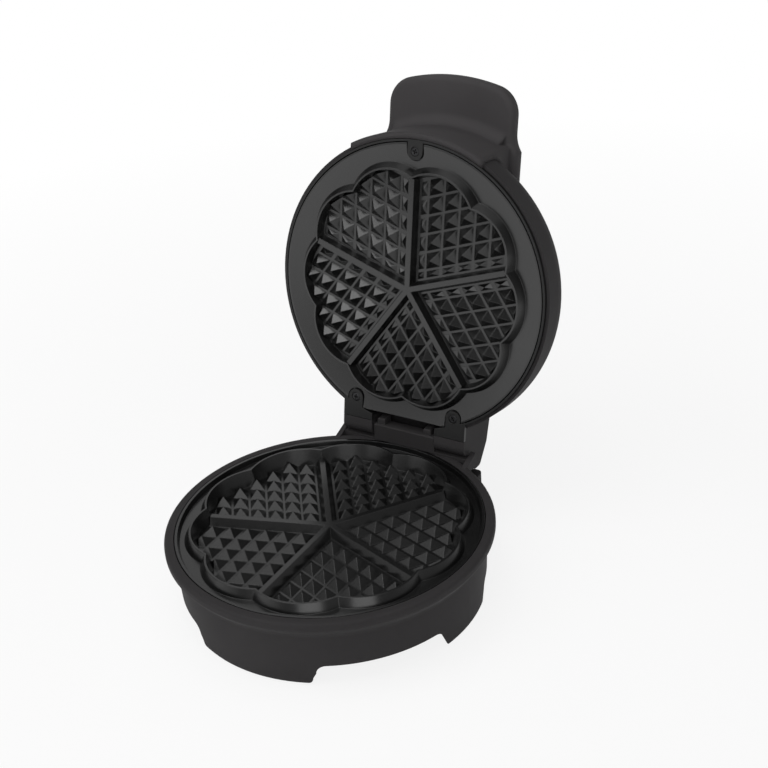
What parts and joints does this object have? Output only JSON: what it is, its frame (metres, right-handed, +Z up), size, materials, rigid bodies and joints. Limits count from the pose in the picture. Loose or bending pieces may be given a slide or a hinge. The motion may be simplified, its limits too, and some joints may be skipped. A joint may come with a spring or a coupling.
{
  "type": "waffle maker",
  "caption": "Round electric waffle maker with hinged domed lid, broad handle, skirt feet and cast non-stick plates with a heart-flower pattern of pyramids.",
  "frame": {"origin": "centre of the bounding box's bottom in the open rest pose, on the table", "axes": "+Z up, -Y to the front where the handle comes down, +Y to the hinge and back, +X to the right"},
  "size_m": [0.218, 0.3104, 0.2917],
  "materials": {
    "body_plastic": "charcoal moulded plastic with a fine matte grain",
    "cover_plastic": "dark moulded plastic, plain",
    "handle_plastic": "charcoal moulded plastic with a fine matte grain",
    "ring_plastic": "black heat-resistant plastic, satin",
    "nonstick_plate": "cast aluminium with a black satin non-stick coating",
    "screw_steel": "plated steel",
    "dark_screw": "blackened steel",
    "pin_steel": "bright drawn steel",
    "pad_rubber": "soft black rubber",
    "gland_rubber": "black rubber bush",
    "heater_tube": "dull sheathed heating tube",
    "reflector_sheet": "bright sheet aluminium",
    "control_metal": "plated control housing",
    "terminal_plastic": "light heat-resistant plastic",
    "red_lens": "clear red lens",
    "green_lens": "clear green lens"
  },
  "bodies": {
    "base": {"base_housing": "body_plastic", "bottom_cover": "cover_plastic", "bottom_cover_screws": "screw_steel", "foot_pads": "pad_rubber", "hinge_pin": "pin_steel", "cord_gland": "gland_rubber", "lower_plate": "nonstick_plate", "lower_plate_screws": "screw_steel", "lower_heater": "heater_tube", "lower_reflector": "reflector_sheet", "lower_reflector_screw": "screw_steel", "thermostat": "control_metal", "lower_thermal_fuse": "control_metal", "terminal_block": "terminal_plastic"},
    "lid": {"lid_shell": "body_plastic", "lid_ring": "ring_plastic", "handle": "handle_plastic", "handle_screws": "screw_steel", "upper_plate": "nonstick_plate", "upper_plate_screws": "dark_screw", "upper_heater": "heater_tube", "upper_reflector": "reflector_sheet", "upper_reflector_screw": "screw_steel", "upper_thermal_fuse": "control_metal", "power_lamp": "red_lens", "ready_lamp": "green_lens", "lamp_holder": "terminal_plastic"}
  },
  "joints": [
    {"name": "lid_hinge", "type": "hinge", "parent": "base", "child": "lid", "pos_m": [0, 0.05864, 0.06318], "axis": [1, 0, 0], "range_deg": [0, 101.5]}
  ]
}
